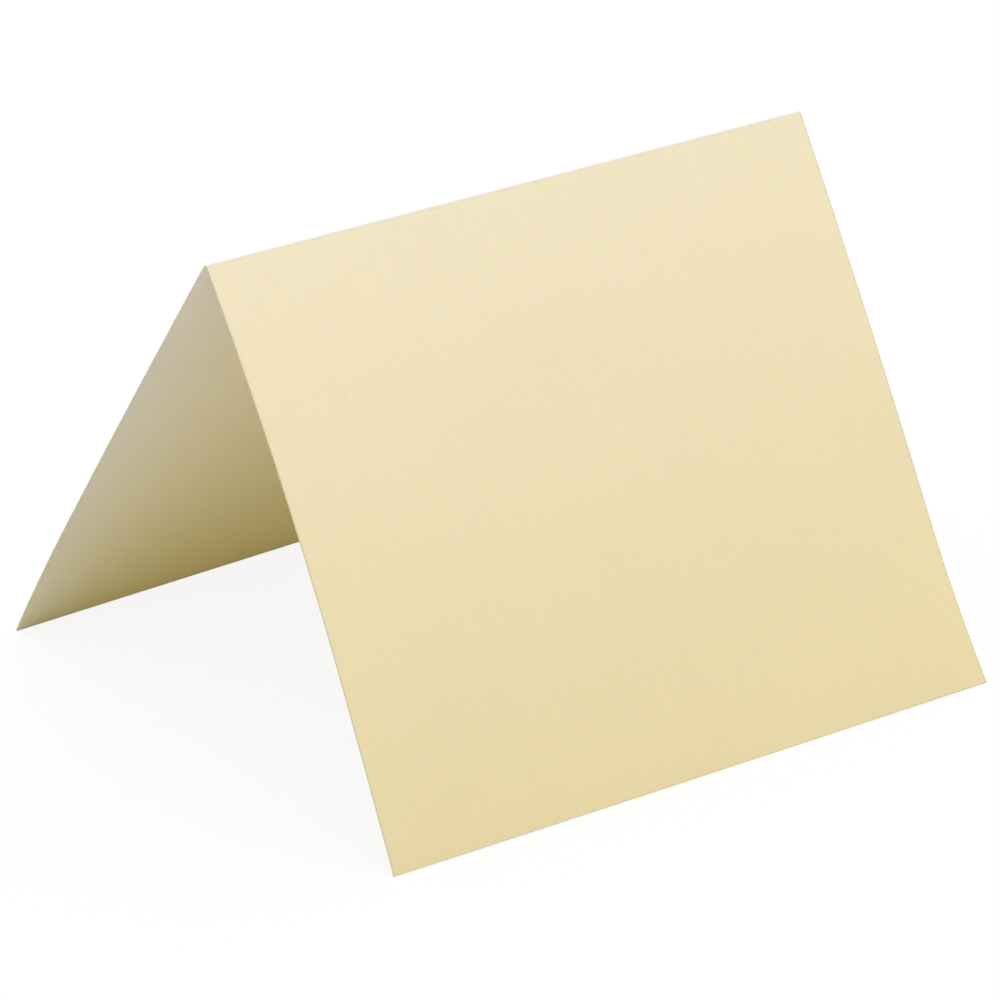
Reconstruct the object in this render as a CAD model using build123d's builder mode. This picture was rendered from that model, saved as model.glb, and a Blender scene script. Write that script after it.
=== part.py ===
from build123d import *
from math import acos, atan2, cos, degrees, hypot, radians, sin
import os

# A blank note card: one sheet of card stock with a single fold, stood up like a tent on
# its two cut edges. X runs along the fold, the front panel is on the -Y side and Z is up.
# The origin is on the table, under the middle of the fold. Millimetres and degrees.

# the sheet: square corners, straight cut edges, the fold exactly halfway
card_width = 139.7  # along the fold
panel_height = 114.3  # along the sheet, from the fold to the cut edge
thickness = 0.3
fold_radius = 0.55  # bend of the fold, to the middle of the sheet's thickness
foot_height = 34.0  # along the sheet, the stretch above the cut edge that curls by itself

# how far the front panel leans from upright where it leaves the fold, at the fold's ends
left_lean_angle = 37.3
right_lean_angle = 33.8

# how the sprung panels bend, at the left end, the middle and the right end of the card:
# a bow turns the panel towards upright on its way down, a curl turns its foot outward
front_bow_angles = (8.9, 4.5, 3.0)
front_curl_angles = (-1.0, 3.0, 7.5)
back_bow_angles = (1.0, 1.1, 1.2)
back_curl_angles = (-3.2, -4.0, -3.6)


def chord(length, turn):
    """Straight distance between the ends of a stretch of sheet that bends by this angle."""
    half = radians(turn) / 2
    return length * sin(half) / half if half else length


def fold_height(lean, bow, curl):
    """Height of the fold's centre where a panel of this lean and these bends meets the table."""
    upper_height = panel_height - foot_height
    foot_lean = lean - bow + curl
    return (
        chord(upper_height, bow) * cos(radians(lean - bow / 2))
        + chord(foot_height, curl) * cos(radians(foot_lean - curl / 2))
        + thickness / 2 * sin(radians(foot_lean))
        - fold_radius * sin(radians(lean))
    )


def lean_under(height, bow, curl):
    """Lean of a panel with these bends that meets the table from a fold of this height."""
    upright = fold_height(0, bow, curl)
    level = fold_height(90, bow, curl)
    return degrees(atan2(level, upright) + acos(height / hypot(upright, level)))


def bend(start, side, lean, turn, length, out):
    """Draw one stretch of a panel's face and return it. The face lies out from the middle
    of the sheet, side is -1 on the front panel and 1 on the back one, and a positive turn
    brings the panel towards upright."""
    heading = (side * sin(radians(lean)), -cos(radians(lean)))
    if turn == 0:
        return PolarLine(start, length, direction=heading)
    return JernArc(start, heading, abs(length / radians(turn) + out), -side * turn)


def draw_face(height, front, back, out):
    """Draw one face of the sheet over the fold and down both panels, as tangent arcs, and
    return its two ends. Each panel is given by its lean, bow and curl."""
    fold_turn = 180 - front[0] - back[0]
    fold = CenterArc((0, height), fold_radius + out, back[0], fold_turn)
    ends = []
    for side, top, (lean, bow, curl) in ((1, fold @ 0, back), (-1, fold @ 1, front)):
        upper = bend(top, side, lean, bow, panel_height - foot_height, out)
        foot = bend(upper @ 1, side, lean - bow, -curl, foot_height, out)
        ends.append(foot @ 1)
    return ends


# the fold is straight, so its height in the middle is the mean of its ends' heights
height_left = fold_height(left_lean_angle, front_bow_angles[0], front_curl_angles[0])
height_right = fold_height(right_lean_angle, front_bow_angles[2], front_curl_angles[2])
heights = (height_left, (height_left + height_right) / 2, height_right)
stations = (-card_width / 2, 0, card_width / 2)

with BuildPart() as card:
    for i, station in enumerate(stations):
        front_lean = lean_under(heights[i], front_bow_angles[i], front_curl_angles[i])
        back_lean = lean_under(heights[i], back_bow_angles[i], back_curl_angles[i])
        front = (front_lean, front_bow_angles[i], front_curl_angles[i])
        back = (back_lean, back_bow_angles[i], back_curl_angles[i])
        with BuildSketch(Plane.YZ.offset(station)):
            with BuildLine():
                outer = draw_face(heights[i], front, back, thickness / 2)
                inner = draw_face(heights[i], front, back, -thickness / 2)
                for outer_end, inner_end in zip(outer, inner):
                    Line(outer_end, inner_end)
            make_face()
    # the sheet twists and bends smoothly from one end of the fold to the other
    loft()

card.part.label = "card"
os.makedirs("parts", exist_ok=True)
export_step(card.part, "parts/card.step")
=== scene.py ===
# A plain cream note card, folded once and stood up like a tent. Metres; X runs along the
# fold, the front panel is on the -Y side, and Z is up from the table.
import bpy
from math import acos, atan2, cos, degrees, hypot, pi, radians, sin
from mathutils import Matrix, Vector


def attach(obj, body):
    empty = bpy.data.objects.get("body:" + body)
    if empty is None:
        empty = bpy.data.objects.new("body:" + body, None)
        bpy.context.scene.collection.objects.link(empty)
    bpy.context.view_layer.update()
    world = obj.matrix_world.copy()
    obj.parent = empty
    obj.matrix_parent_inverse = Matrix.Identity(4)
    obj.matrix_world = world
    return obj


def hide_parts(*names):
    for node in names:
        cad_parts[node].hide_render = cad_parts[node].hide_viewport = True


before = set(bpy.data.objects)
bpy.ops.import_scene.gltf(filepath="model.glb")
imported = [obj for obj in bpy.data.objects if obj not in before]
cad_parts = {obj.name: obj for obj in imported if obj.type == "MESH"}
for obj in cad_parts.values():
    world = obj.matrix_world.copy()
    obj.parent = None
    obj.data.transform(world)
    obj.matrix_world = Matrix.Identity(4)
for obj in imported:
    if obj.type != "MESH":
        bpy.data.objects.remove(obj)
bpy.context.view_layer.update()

# The folded sheet
# One sheet of uncoated cream card stock, guillotined square, then scored, folded halfway
# and pressed. It has sprung part of the way open again: the front panel bows out at its
# left end, and its foot curls outward at its right end.
card_width = 0.1397
panel_height = 0.1143
thickness = 0.0003
fold_radius = 0.00055
foot_height = 0.034
upper_height = panel_height - foot_height
left_lean_angle = 37.3
right_lean_angle = 33.8
front_bow_angles = (8.9, 4.5, 3.0)
front_curl_angles = (-1.0, 3.0, 7.5)
back_bow_angles = (1.0, 1.1, 1.2)
back_curl_angles = (-3.2, -4.0, -3.6)
columns = 101
rows_per_panel = 90


def chord(length, turn):
    """Straight distance between the ends of a stretch of sheet that bends by this angle."""
    half = radians(turn) / 2
    return length * sin(half) / half if half else length


def fold_height(lean, bow, curl):
    """Height of the fold's centre where a panel of this lean and these bends meets the table."""
    foot_lean = lean - bow + curl
    return (
        chord(upper_height, bow) * cos(radians(lean - bow / 2))
        + chord(foot_height, curl) * cos(radians(foot_lean - curl / 2))
        + thickness / 2 * sin(radians(foot_lean))
        - fold_radius * sin(radians(lean))
    )


def lean_under(height, bow, curl):
    """Lean of a panel with these bends that meets the table from a fold of this height."""
    upright = fold_height(0, bow, curl)
    level = fold_height(90, bow, curl)
    return degrees(atan2(level, upright) + acos(height / hypot(upright, level)))


def add_node(tree, kind, values=None, **settings):
    """Adds a node with its settings. Its values go in by input: a socket is linked to it, a
    node gives its first output, and anything else is set on it."""
    made = tree.nodes.new(kind)
    for name, value in settings.items():
        setattr(made, name, value)
    for key, value in (values or {}).items():
        if isinstance(value, bpy.types.Node):
            value = value.outputs[0]
        if isinstance(value, bpy.types.NodeSocket):
            tree.links.new(value, made.inputs[key])
        else:
            made.inputs[key].default_value = value
    return made


left_height = fold_height(left_lean_angle, front_bow_angles[0], front_curl_angles[0])
right_height = fold_height(right_lean_angle, front_bow_angles[2], front_curl_angles[2])
fold_heights = (left_height, (left_height + right_height) / 2, right_height)
front_lean = [lean_under(*each) for each in zip(fold_heights, front_bow_angles, front_curl_angles)]
back_lean = [lean_under(*each) for each in zip(fold_heights, back_bow_angles, back_curl_angles)]

# one evenly bent stretch of the sheet, from where it starts, in its own plane; the least
# turn keeps the ratio of a chord to its arc from being nought by nought where it is flat
least_turn = 1e-6
bent = bpy.data.node_groups.new("bent stretch", "GeometryNodeTree")
for name in ("Run", "Length", "Turn", "Lean"):
    bent.interface.new_socket(name, in_out="INPUT", socket_type="NodeSocketFloat")
for name in ("Out", "Down", "Lean"):
    bent.interface.new_socket(name, in_out="OUTPUT", socket_type="NodeSocketFloat")
given = add_node(bent, "NodeGroupInput").outputs
share = add_node(bent, "ShaderNodeMath", {0: given["Run"], 1: given["Length"]}, operation="DIVIDE")
turned = add_node(bent, "ShaderNodeMath", {0: share, 1: given["Turn"]}, operation="MULTIPLY")
half = add_node(bent, "ShaderNodeMath", {0: turned, 1: 0.5, 2: least_turn}, operation="MULTIPLY_ADD")
middle = add_node(bent, "ShaderNodeMath", {0: given["Lean"], 1: half}, operation="SUBTRACT")
sine = add_node(bent, "ShaderNodeMath", {0: half}, operation="SINE")
ratio = add_node(bent, "ShaderNodeMath", {0: sine, 1: half}, operation="DIVIDE")
straight = add_node(bent, "ShaderNodeMath", {0: given["Run"], 1: ratio}, operation="MULTIPLY")
across = add_node(bent, "ShaderNodeMath", {0: middle}, operation="SINE")
along = add_node(bent, "ShaderNodeMath", {0: middle}, operation="COSINE")
out = add_node(bent, "ShaderNodeMath", {0: straight, 1: across}, operation="MULTIPLY")
down = add_node(bent, "ShaderNodeMath", {0: straight, 1: along}, operation="MULTIPLY")
after = add_node(bent, "ShaderNodeMath", {0: given["Lean"], 1: turned}, operation="SUBTRACT")
add_node(bent, "NodeGroupOutput", {"Out": out, "Down": down, "Lean": after})

# the flat blank is bent over the fold and down both panels, by rules that take three
# values each, for the left end, the middle and the right end of the card
folding = bpy.data.node_groups.new("folded sheet", "GeometryNodeTree")
sheet_inputs = {
    "Card width": ("NodeSocketFloat", card_width),
    "Panel height": ("NodeSocketFloat", panel_height),
    "Foot height": ("NodeSocketFloat", foot_height),
    "Thickness": ("NodeSocketFloat", thickness),
    "Fold radius": ("NodeSocketFloat", fold_radius),
    "Fold heights": ("NodeSocketVector", fold_heights),
    "Front leans": ("NodeSocketVector", [radians(a) for a in front_lean]),
    "Front bows": ("NodeSocketVector", [radians(a) for a in front_bow_angles]),
    "Front curls": ("NodeSocketVector", [radians(a) for a in front_curl_angles]),
    "Back leans": ("NodeSocketVector", [radians(a) for a in back_lean]),
    "Back bows": ("NodeSocketVector", [radians(a) for a in back_bow_angles]),
    "Back curls": ("NodeSocketVector", [radians(a) for a in back_curl_angles]),
    "Columns": ("NodeSocketInt", columns),
    "Rows": ("NodeSocketInt", 2 * rows_per_panel + 1),
    "Stock": ("NodeSocketMaterial", None),
}
for name, (kind, value) in sheet_inputs.items():
    folding.interface.new_socket(name, in_out="INPUT", socket_type=kind)
folding.interface.new_socket("Sheet", in_out="OUTPUT", socket_type="NodeSocketGeometry")
size = add_node(folding, "NodeGroupInput").outputs

# the blank: as wide and thick as the sheet, with rows from -1 at the front panel's foot
# to 1 at the back panel's foot
blank_size = add_node(folding, "ShaderNodeCombineXYZ", {
    0: size["Card width"], 1: 2.0, 2: size["Thickness"]})
blank = add_node(folding, "GeometryNodeMeshCube", {
    "Size": blank_size, "Vertices X": size["Columns"], "Vertices Y": size["Rows"], "Vertices Z": 2})
place = add_node(folding, "GeometryNodeInputPosition")
x, row, depth = add_node(folding, "ShaderNodeSeparateXYZ", {0: place}).outputs

# shares of the left, middle and right values at this place along the fold
station = add_node(folding, "ShaderNodeMath", {0: x, 1: size["Card width"]}, operation="DIVIDE")
end_to_end = add_node(folding, "ShaderNodeMath", {0: station, 1: 2.0}, operation="MULTIPLY")
squared = add_node(folding, "ShaderNodeMath", {0: end_to_end, 1: 2.0}, operation="POWER")
half_square = add_node(folding, "ShaderNodeMath", {0: squared, 1: 0.5}, operation="MULTIPLY")
at_left = add_node(folding, "ShaderNodeMath", {0: half_square, 1: station}, operation="SUBTRACT")
at_middle = add_node(folding, "ShaderNodeMath", {0: 1.0, 1: squared}, operation="SUBTRACT")
at_right = add_node(folding, "ShaderNodeMath", {0: half_square, 1: station}, operation="ADD")
shares = add_node(folding, "ShaderNodeCombineXYZ", {0: at_left, 1: at_middle, 2: at_right})

# the lean, bow and curl here, of the panel that this row is on
side = add_node(folding, "ShaderNodeMath", {0: row}, operation="SIGN")
on_back = add_node(folding, "ShaderNodeMath", {0: row, 1: 0.0}, operation="GREATER_THAN")
bends = []
for bend in ("leans", "bows", "curls"):
    panel = add_node(folding, "ShaderNodeMix", {
        0: on_back, 4: size["Front " + bend], 5: size["Back " + bend]}, data_type="VECTOR").outputs[1]
    here = add_node(folding, "ShaderNodeVectorMath", {0: panel, 1: shares}, operation="DOT_PRODUCT")
    bends.append(here.outputs["Value"])
lean, bow, curl = bends
height = add_node(folding, "ShaderNodeVectorMath", {
    0: size["Fold heights"], 1: shares}, operation="DOT_PRODUCT").outputs["Value"]

# distance from the top of the fold along the sheet; the rows crowd towards the fold
fold_turn = add_node(folding, "ShaderNodeMath", {0: radians(90), 1: lean}, operation="SUBTRACT")
fold_run = add_node(folding, "ShaderNodeMath", {
    0: fold_turn, 1: size["Fold radius"]}, operation="MULTIPLY")
whole = add_node(folding, "ShaderNodeMath", {0: fold_run, 1: size["Panel height"]}, operation="ADD")
crowded = add_node(folding, "ShaderNodeMath", {0: row, 1: 2.0}, operation="POWER")
distance = add_node(folding, "ShaderNodeMath", {0: crowded, 1: whole}, operation="MULTIPLY")
on_fold = add_node(folding, "ShaderNodeMath", {0: distance, 1: fold_run}, operation="MINIMUM")
past_fold = add_node(folding, "ShaderNodeMath", {0: distance, 1: on_fold}, operation="SUBTRACT")
upper = add_node(folding, "ShaderNodeMath", {
    0: size["Panel height"], 1: size["Foot height"]}, operation="SUBTRACT")
on_upper = add_node(folding, "ShaderNodeMath", {0: past_fold, 1: upper}, operation="MINIMUM")
on_foot = add_node(folding, "ShaderNodeMath", {0: past_fold, 1: on_upper}, operation="SUBTRACT")
inward_curl = add_node(folding, "ShaderNodeMath", {0: curl, 1: -1.0}, operation="MULTIPLY")
reach = 0.0
drop = 0.0
facing = radians(90)
for run, length, turn in (
        (on_fold, fold_run, fold_turn),
        (on_upper, upper, bow),
        (on_foot, size["Foot height"], inward_curl)):
    stretch = add_node(folding, "GeometryNodeGroup", {
        "Run": run, "Length": length, "Turn": turn, "Lean": facing}, node_tree=bent).outputs
    reach = add_node(folding, "ShaderNodeMath", {0: reach, 1: stretch["Out"]}, operation="ADD")
    drop = add_node(folding, "ShaderNodeMath", {0: drop, 1: stretch["Down"]}, operation="ADD")
    facing = stretch["Lean"]

# the surfaces lie half a thickness each side of that line
outward = add_node(folding, "ShaderNodeMath", {0: facing}, operation="COSINE")
upward = add_node(folding, "ShaderNodeMath", {0: facing}, operation="SINE")
reach = add_node(folding, "ShaderNodeMath", {0: outward, 1: depth, 2: reach}, operation="MULTIPLY_ADD")
top = add_node(folding, "ShaderNodeMath", {0: height, 1: size["Fold radius"]}, operation="ADD")
level = add_node(folding, "ShaderNodeMath", {0: top, 1: drop}, operation="SUBTRACT")
level = add_node(folding, "ShaderNodeMath", {0: upward, 1: depth, 2: level}, operation="MULTIPLY_ADD")
sideways = add_node(folding, "ShaderNodeMath", {0: reach, 1: side}, operation="MULTIPLY")
folded_place = add_node(folding, "ShaderNodeCombineXYZ", {0: x, 1: sideways, 2: level})

# where each point is on the flat sheet, for what follows the sheet in its material
from_fold = add_node(folding, "ShaderNodeMath", {0: distance, 1: side}, operation="MULTIPLY")
flat_place = add_node(folding, "ShaderNodeCombineXYZ", {0: x, 1: from_fold, 2: depth})
marked = add_node(folding, "GeometryNodeStoreNamedAttribute", {
    "Geometry": blank, "Name": "flat sheet", "Value": flat_place}, data_type="FLOAT_VECTOR")
folded = add_node(folding, "GeometryNodeSetPosition", {"Geometry": marked, "Position": folded_place})

# the faces are smooth and the guillotined corners sharp
sharp_angle = 50
smooth = add_node(folding, "GeometryNodeSetShadeSmooth", {"Geometry": folded, "Shade Smooth": True})
corner = add_node(folding, "GeometryNodeInputMeshEdgeAngle")
sharp = add_node(folding, "ShaderNodeMath", {0: corner, 1: radians(sharp_angle)}, operation="GREATER_THAN")
cut = add_node(folding, "GeometryNodeSetShadeSmooth", {
    "Geometry": smooth, "Selection": sharp, "Shade Smooth": False}, domain="EDGE")
real = add_node(folding, "GeometryNodeRealizeInstances", {"Geometry": cut})
stocked = add_node(folding, "GeometryNodeSetMaterial", {"Geometry": real, "Material": size["Stock"]})
add_node(folding, "NodeGroupOutput", {"Sheet": stocked})


def from_hex(colour):
    """Linear colour of an sRGB hex value."""
    parts = [int(colour[i:i + 2], 16) / 255 for i in (1, 3, 5)]
    return [*(p / 12.92 if p <= 0.04045 else ((p + 0.055) / 1.055) ** 2.4 for p in parts), 1.0]


# Uncoated cream card stock: a tinted pulp sheet, smooth but never glossy. The eye gets a flat
# cream with painted light and shade in it, paler along the fold and deeper towards the feet, under
# a faint mottle of matted fibre, with a few flecks and specks from the pulp. A little light comes through
# it.
# painted light and shade: the fold creams are painted paler where more light falls, the foot creams deeper
# where less does, and the open end colour is painted cool light
outer_cream_painted_lit = "#F7E9CC"
outer_cream_painted_shaded = "#EFDEB3"
inner_cream_painted_lit = "#F8EBCF"
inner_cream_painted_shaded = "#F1E1A6"
open_end_painted_cool_light = "#CED1E1"
# partly a painted sheen along the fold, partly the stretched fibre of the crease
stretched_fibre_and_painted_sheen = "#E0D4CC"
dark_edge_cream = "#C9BC93"
shive_yellow = "#EBDF84"
bark_brown = "#8C7A52"
stock = bpy.data.materials.new("uncoated cream card stock")
stock.use_nodes = True
tree = stock.node_tree
tree.nodes.clear()
flat = add_node(tree, "ShaderNodeAttribute", attribute_name="flat sheet").outputs["Vector"]
across_card, from_fold, depth = add_node(tree, "ShaderNodeSeparateXYZ", {0: flat}).outputs

# the two faces of the sheet formed apart, so a shift by depth gives each its own pattern
shift_by_depth = 2000.0
shifted = add_node(tree, "ShaderNodeMath", {
    0: depth, 1: shift_by_depth, 2: across_card}, operation="MULTIPLY_ADD")
on_face = add_node(tree, "ShaderNodeCombineXYZ", {0: shifted, 1: from_fold})

# painted light and shade: the cream is painted paler at the fold, where more light falls, and
# deeper towards the feet, where less does; evenly on the outer faces, and mostly near the feet on
# the inner ones, as painted shade deep inside the tent; the inner faces are also painted greyer
# at their open ends, as painted cool light coming in there
open_end_painted_light_strength = 0.36
to_end = add_node(tree, "ShaderNodeMath", {0: across_card}, operation="ABSOLUTE")
to_fold = add_node(tree, "ShaderNodeMath", {0: from_fold}, operation="ABSOLUTE")
share_down = add_node(tree, "ShaderNodeMath", {0: to_fold, 1: panel_height}, operation="DIVIDE")
outer_painted_shading = add_node(tree, "ShaderNodeMix", {
    0: share_down, 6: from_hex(outer_cream_painted_lit), 7: from_hex(outer_cream_painted_shaded)},
    data_type="RGBA").outputs[2]
low_down = add_node(tree, "ShaderNodeMath", {0: share_down, 1: 2.0}, operation="POWER")
inner_painted_shading = add_node(tree, "ShaderNodeMix", {
    0: low_down, 6: from_hex(inner_cream_painted_lit), 7: from_hex(inner_cream_painted_shaded)},
    data_type="RGBA").outputs[2]
share_out = add_node(tree, "ShaderNodeMath", {0: to_end, 1: card_width / 2}, operation="DIVIDE")
near_end = add_node(tree, "ShaderNodeMath", {0: share_out, 1: 4.0}, operation="POWER")
painted_cool_light_share = add_node(tree, "ShaderNodeMath", {0: near_end, 1: open_end_painted_light_strength}, operation="MULTIPLY")
inner_painted_shading = add_node(tree, "ShaderNodeMix", {
    0: painted_cool_light_share, 6: inner_painted_shading, 7: from_hex(open_end_painted_cool_light)}, data_type="RGBA").outputs[2]
outside = add_node(tree, "ShaderNodeMath", {0: depth, 1: 0.0}, operation="GREATER_THAN")
cream = add_node(tree, "ShaderNodeMix", {0: outside, 6: inner_painted_shading, 7: outer_painted_shading}, data_type="RGBA").outputs[2]

# the fold has been pressed: its fibres are stretched and show greyer for about 0.6 mm each
# side, in a line that wanders by a tenth or two; part of that pale grey line is a painted sheen
# of light grazing over the fold
line_strength = 0.9
line_reach = 0.00055
line_wander = 0.0003
wander_length = 0.004
wander = add_node(tree, "ShaderNodeTexNoise", {
    "Vector": on_face, "Scale": 1 / wander_length, "Detail": 1.0}, noise_dimensions="2D")
line = add_node(tree, "ShaderNodeMath", {0: wander, 1: -line_wander, 2: to_fold}, operation="MULTIPLY_ADD")
stretched_and_painted_sheen = add_node(tree, "ShaderNodeMapRange", {
    "Value": line, "From Min": 0.0, "From Max": line_reach,
    "To Min": line_strength, "To Max": 0.0}, interpolation_type="SMOOTHSTEP")
cream = add_node(tree, "ShaderNodeMix", {
    0: stretched_and_painted_sheen, 6: cream, 7: from_hex(stretched_fibre_and_painted_sheen)}, data_type="RGBA").outputs[2]

# the last fifth of a millimetre along every cut edge is drawn a little darker, least at the
# left end and most at the right
left_edge_darkening = 0.2
right_edge_darkening = 0.6
dark_edge_width = 0.00008
dark_edge_reach = 0.0003
end_gap = add_node(tree, "ShaderNodeMath", {0: card_width / 2, 1: to_end}, operation="SUBTRACT")
sheet_length = panel_height + fold_radius * radians(90 - front_lean[1])
foot_gap = add_node(tree, "ShaderNodeMath", {0: sheet_length, 1: to_fold}, operation="SUBTRACT")
cut_gap = add_node(tree, "ShaderNodeMath", {0: end_gap, 1: foot_gap}, operation="MINIMUM")
edge_darkening_by_end = add_node(tree, "ShaderNodeMapRange", {
    "Value": across_card, "From Min": -card_width / 2, "From Max": card_width / 2,
    "To Min": left_edge_darkening, "To Max": right_edge_darkening})
dark_edge = add_node(tree, "ShaderNodeMapRange", {
    "Value": cut_gap, "From Min": dark_edge_width, "From Max": dark_edge_reach,
    "To Min": edge_darkening_by_end, "To Max": 0.0}, interpolation_type="SMOOTHSTEP")
cream = add_node(tree, "ShaderNodeMix", {
    0: dark_edge, 6: cream, 7: from_hex(dark_edge_cream)}, data_type="RGBA").outputs[2]

# fibre flecks: yellow-green shives of up to 1 mm, one to every three square centimetres
shive_spacing = 0.012
shive_largest_reach = 0.00084
shive_share = 0.5
shive_strength = 0.5
fibre_length = 0.001
fibre_stray = 0.0012
stirred = add_node(tree, "ShaderNodeTexNoise", {
    "Vector": on_face, "Scale": 1 / fibre_length, "Detail": 1.0}, noise_dimensions="2D")
stray = add_node(tree, "ShaderNodeVectorMath", {
    0: stirred.outputs["Color"], 1: (fibre_stray, fibre_stray, 0.0), 2: on_face}, operation="MULTIPLY_ADD")
shives = add_node(tree, "ShaderNodeTexVoronoi", {
    "Vector": stray, "Scale": 1 / shive_spacing}, voronoi_dimensions="2D").outputs
drawn = add_node(tree, "ShaderNodeSeparateColor", {0: shives["Color"]}).outputs
shive_reach = add_node(tree, "ShaderNodeMath", {
    0: drawn["Red"], 1: shive_largest_reach / shive_spacing}, operation="MULTIPLY")
some = add_node(tree, "ShaderNodeMath", {
    0: drawn["Blue"], 1: 1 - shive_share}, operation="GREATER_THAN")
shown = add_node(tree, "ShaderNodeMath", {0: some, 1: shive_strength}, operation="MULTIPLY")
shive = add_node(tree, "ShaderNodeMapRange", {
    "Value": shives["Distance"], "From Min": 0.0, "From Max": shive_reach,
    "To Min": shown, "To Max": 0.0}, interpolation_type="SMOOTHSTEP")
cream = add_node(tree, "ShaderNodeMix", {
    0: shive, 6: cream, 7: from_hex(shive_yellow)}, data_type="RGBA").outputs[2]

# specks: dark points of bark, 0.3 mm across, two or three to a panel
speck_spacing = 0.03
speck_heart = 0.00006
speck_reach = 0.00021
speck_share = 0.15
speck_strength = 0.3
bark = add_node(tree, "ShaderNodeTexVoronoi", {
    "Vector": on_face, "Scale": 1 / speck_spacing}, voronoi_dimensions="2D").outputs
drawn = add_node(tree, "ShaderNodeSeparateColor", {0: bark["Color"]}).outputs
few = add_node(tree, "ShaderNodeMath", {
    0: drawn["Blue"], 1: 1 - speck_share}, operation="GREATER_THAN")
shown = add_node(tree, "ShaderNodeMath", {0: few, 1: speck_strength}, operation="MULTIPLY")
speck = add_node(tree, "ShaderNodeMapRange", {
    "Value": bark["Distance"], "From Min": speck_heart / speck_spacing,
    "From Max": speck_reach / speck_spacing, "To Min": shown, "To Max": 0.0},
    interpolation_type="SMOOTHSTEP")
cream = add_node(tree, "ShaderNodeMix", {
    0: speck, 6: cream, 7: from_hex(bark_brown)}, data_type="RGBA").outputs[2]

# formation: clumps of matted fibre about 1 mm across; long soft streaks run with the grain;
# the tone is uneven over a few centimetres; and the dye took a little more in some places,
# patches of about 2 mm that are hardly there except in blue
clump_size = 0.0012
streak_width = 0.0018
streak_length = 0.02
cloud_size = 0.024
dye_patch_size = 0.0022
clumps = add_node(tree, "ShaderNodeTexNoise", {
    "Vector": on_face, "Scale": 1 / clump_size, "Detail": 1.0}, noise_dimensions="2D")
with_grain = add_node(tree, "ShaderNodeVectorMath", {
    0: on_face, 1: (1 / streak_width, 1 / streak_length, 0.0)}, operation="MULTIPLY")
streaks = add_node(tree, "ShaderNodeTexNoise", {
    "Vector": with_grain, "Scale": 1.0, "Detail": 2.0}, noise_dimensions="2D")
clouds = add_node(tree, "ShaderNodeTexNoise", {
    "Vector": on_face, "Scale": 1 / cloud_size, "Detail": 1.0}, noise_dimensions="2D")
dyed = add_node(tree, "ShaderNodeTexNoise", {
    "Vector": stray, "Scale": 1 / dye_patch_size, "Detail": 2.0}, noise_dimensions="2D")
tone = (1.0, 1.0, 1.0)
for pattern, strength in (
        (clumps, (0.016, 0.016, 0.02)),
        (streaks, (0.012, 0.012, 0.03)),
        (clouds, (0.02, 0.02, 0.02)),
        (dyed, (0.0, 0.016, 0.12))):
    centred = add_node(tree, "ShaderNodeMath", {0: pattern, 1: 0.5}, operation="SUBTRACT")
    change = add_node(tree, "ShaderNodeVectorMath", {0: strength, "Scale": centred}, operation="SCALE")
    tone = add_node(tree, "ShaderNodeVectorMath", {0: tone, 1: change}, operation="ADD")
mottled = add_node(tree, "ShaderNodeVectorMath", {0: cream, 1: tone}, operation="MULTIPLY")

# the tooth of the surface, drawn at half a millimetre, coarser than it is, so that it shows;
# and the slight cockle of a sheet that has taken up moisture
tooth_size = 0.0005
tooth_height = 0.000003
cockle_height = 0.00008
tooth = add_node(tree, "ShaderNodeTexNoise", {
    "Vector": on_face, "Scale": 1 / tooth_size, "Detail": 1.0}, noise_dimensions="2D")
rise = add_node(tree, "ShaderNodeBump", {
    "Height": tooth, "Strength": 1.0, "Distance": tooth_height})
swell = add_node(tree, "ShaderNodeBump", {
    "Height": clouds, "Strength": 1.0, "Distance": cockle_height, "Normal": rise})
matt = add_node(tree, "ShaderNodeMapRange", {"Value": tooth, "To Min": 0.78, "To Max": 0.94})

# a fifth of the light soaks through between the fibres, blue the least, so that a little of
# it, and that yellow, reaches the shaded side of the sheet
shader = add_node(tree, "ShaderNodeBsdfPrincipled", {
    "Base Color": mottled, "Roughness": matt, "Specular IOR Level": 0.3, "Normal": swell,
    "Subsurface Weight": 0.2, "Subsurface Scale": 0.0008, "Subsurface Radius": (1.0, 0.9, 0.2)},
    subsurface_method="RANDOM_WALK")
add_node(tree, "ShaderNodeOutputMaterial", {"Surface": shader})

sheet_inputs["Stock"] = ("NodeSocketMaterial", stock)
holder = bpy.data.objects.new("folding", bpy.data.meshes.new("blank"))
bpy.context.scene.collection.objects.link(holder)
modifier = holder.modifiers.new("folding", "NODES")
modifier.node_group = folding
for socket in folding.interface.items_tree:
    if socket.in_out == "INPUT":
        modifier[socket.identifier] = sheet_inputs[socket.name][1]
evaluated = bpy.context.evaluated_depsgraph_get()
card_mesh = bpy.data.meshes.new_from_object(holder.evaluated_get(evaluated), depsgraph=evaluated)
bpy.data.objects.remove(holder)
card_mesh.name = "folded_sheet"
card = bpy.data.objects.new("folded_sheet", card_mesh)
bpy.context.scene.collection.objects.link(card)
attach(card, "root")
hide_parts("card")

# The table and the backdrop
# A white table that runs on past the view. It isn't part of the card.
floor_mesh = bpy.data.meshes.new("table_top")
table_reach = 4.0
table_whiteness = 0.88
floor_corners = [(x * table_reach, y * table_reach, 0) for x, y in ((-1, -1), (1, -1), (1, 1), (-1, 1))]
floor_mesh.from_pydata(floor_corners, [], [(0, 1, 2, 3)])
floor = bpy.data.objects.new("table_top", floor_mesh)
bpy.context.scene.collection.objects.link(floor)
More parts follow.
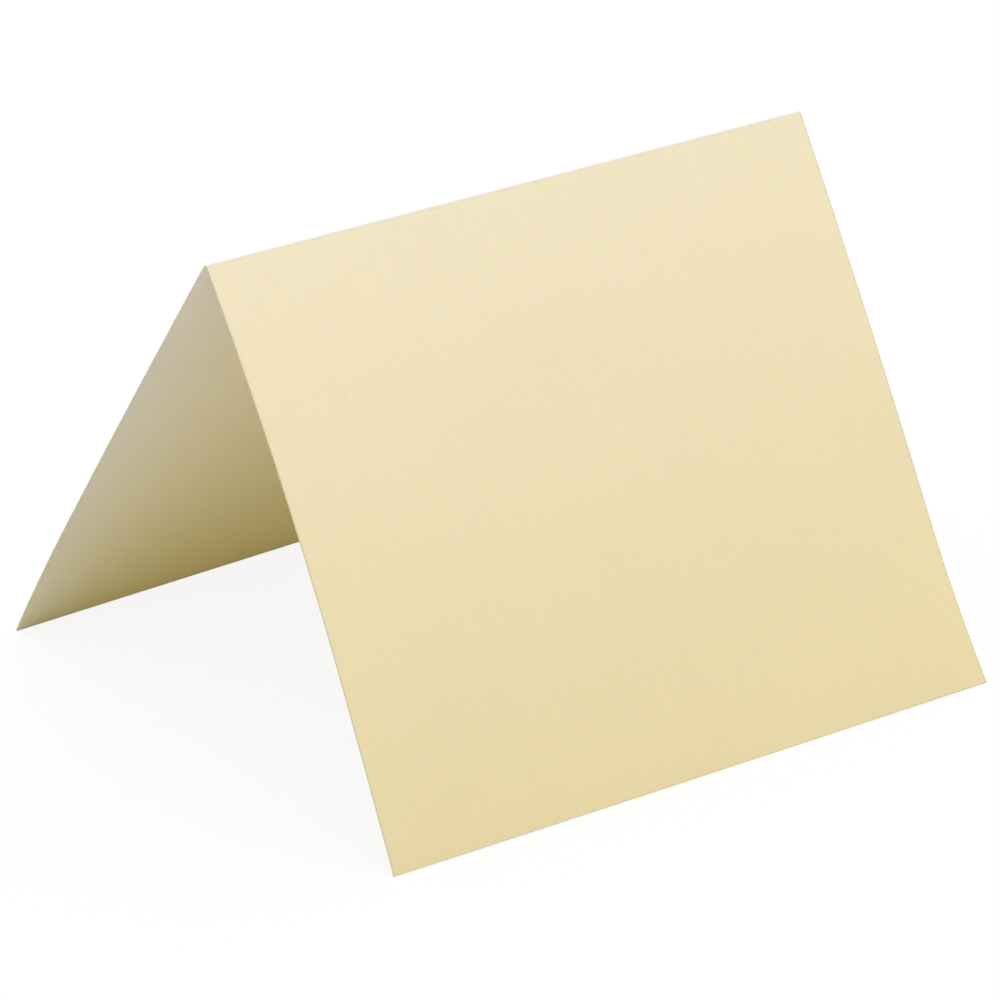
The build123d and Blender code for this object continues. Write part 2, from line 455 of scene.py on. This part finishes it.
# a matt white that looks close to the white behind it, and keeps a soft shadow
paint = bpy.data.materials.new("matt white table")
paint.use_nodes = True
tree = paint.node_tree
tree.nodes.clear()
lit = add_node(tree, "ShaderNodeBsdfDiffuse", {"Color": from_hex("#F4F4F4")})
glow = add_node(tree, "ShaderNodeEmission", {"Color": (1, 1, 1, 1), "Strength": 1.0})
ray = add_node(tree, "ShaderNodeLightPath").outputs
seen = add_node(tree, "ShaderNodeMath", {
    0: ray["Is Camera Ray"], 1: ray["Is Glossy Ray"]}, operation="MAXIMUM")
seen = add_node(tree, "ShaderNodeMath", {0: seen, 1: ray["Is Transmission Ray"]}, operation="MAXIMUM")
whitened = add_node(tree, "ShaderNodeMath", {0: seen, 1: table_whiteness}, operation="MULTIPLY")
surface = add_node(tree, "ShaderNodeMixShader", {0: whitened, 1: lit, 2: glow})
add_node(tree, "ShaderNodeOutputMaterial", {"Surface": surface})
floor_mesh.materials.append(paint)

# The light
# A soft white room: white overhead, cooler daylight behind the card and a warm wall to its
# right; and one round lamp close above.
world = bpy.data.worlds.new("soft white room")
bpy.context.scene.world = world
world.use_nodes = True
tree = world.node_tree
tree.nodes.clear()
looking = add_node(tree, "ShaderNodeTexCoord").outputs["Generated"]
towards = add_node(tree, "ShaderNodeVectorMath", {0: looking}, operation="MAXIMUM")
right, rear, overhead = add_node(tree, "ShaderNodeSeparateXYZ", {0: towards}).outputs
light = (0.0, 0.0, 0.0)
for share, tint, strength in (
        (right, "#FFF3CB", 0.60),
        (rear, "#BDD7FF", 0.74),
        (overhead, "#FFFFFC", 1.37)):
    most = [strength * level for level in from_hex(tint)[:3]]
    added = add_node(tree, "ShaderNodeVectorMath", {0: most, "Scale": share}, operation="SCALE")
    light = add_node(tree, "ShaderNodeVectorMath", {0: light, 1: added}, operation="ADD")
room = add_node(tree, "ShaderNodeBackground", {"Color": light, "Strength": 1.0})
behind = add_node(tree, "ShaderNodeBackground", {"Color": (1, 1, 1, 1), "Strength": 1.0})
ray = add_node(tree, "ShaderNodeLightPath").outputs
seen = add_node(tree, "ShaderNodeMath", {
    0: ray["Is Camera Ray"], 1: ray["Is Glossy Ray"]}, operation="MAXIMUM")
seen = add_node(tree, "ShaderNodeMath", {0: seen, 1: ray["Is Transmission Ray"]}, operation="MAXIMUM")
sky = add_node(tree, "ShaderNodeMixShader", {0: seen, 1: room, 2: behind})
add_node(tree, "ShaderNodeOutputWorld", {"Surface": sky})

lamp_azimuth = radians(-15)
lamp_elevation = radians(80)
lamp_aim = Vector((0, 0, 0.05))
lamp_distance = 0.25
lamp_radius = 0.1
lamp_brightness = 0.37
lamp_towards = Vector((
    sin(lamp_azimuth) * cos(lamp_elevation),
    -cos(lamp_azimuth) * cos(lamp_elevation),
    sin(lamp_elevation)))
lamp_data = bpy.data.lights.new("round lamp", "AREA")
lamp_data.shape = "DISK"
lamp_data.color = from_hex("#FDFCFF")[:3]
lamp_data.size = 2 * lamp_radius
lamp_data.energy = lamp_brightness * (pi * lamp_radius) ** 2
lamp = bpy.data.objects.new("round lamp", lamp_data)
bpy.context.scene.collection.objects.link(lamp)
lamp_turn = lamp_towards.to_track_quat("Z", "Y").to_matrix().to_4x4()
lamp.matrix_world = Matrix.Translation(lamp_aim + lamp_towards * lamp_distance) @ lamp_turn

# The camera
# It looks down on the card from the front and left through a long lens, a little tilted.
camera_azimuth = radians(-38.81)
camera_elevation = radians(25.30)
camera_roll = radians(1.94)
camera_distance = 1.2594
camera_lens = 240.6
aim = Vector((-0.00388, -0.00445, 0.03552))
back = Vector((
    sin(camera_azimuth) * cos(camera_elevation),
    -cos(camera_azimuth) * cos(camera_elevation),
    sin(camera_elevation)))
camera_data = bpy.data.cameras.new("long lens")
camera_data.sensor_width = 36.0
camera_data.lens = camera_lens
camera = bpy.data.objects.new("camera", camera_data)
bpy.context.scene.collection.objects.link(camera)
turn = back.to_track_quat("Z", "Y").to_matrix() @ Matrix.Rotation(camera_roll, 3, "Z")
camera.matrix_world = Matrix.Translation(aim + back * camera_distance) @ turn.to_4x4()
bpy.context.scene.camera = camera
bpy.context.scene.view_settings.view_transform = "Standard"
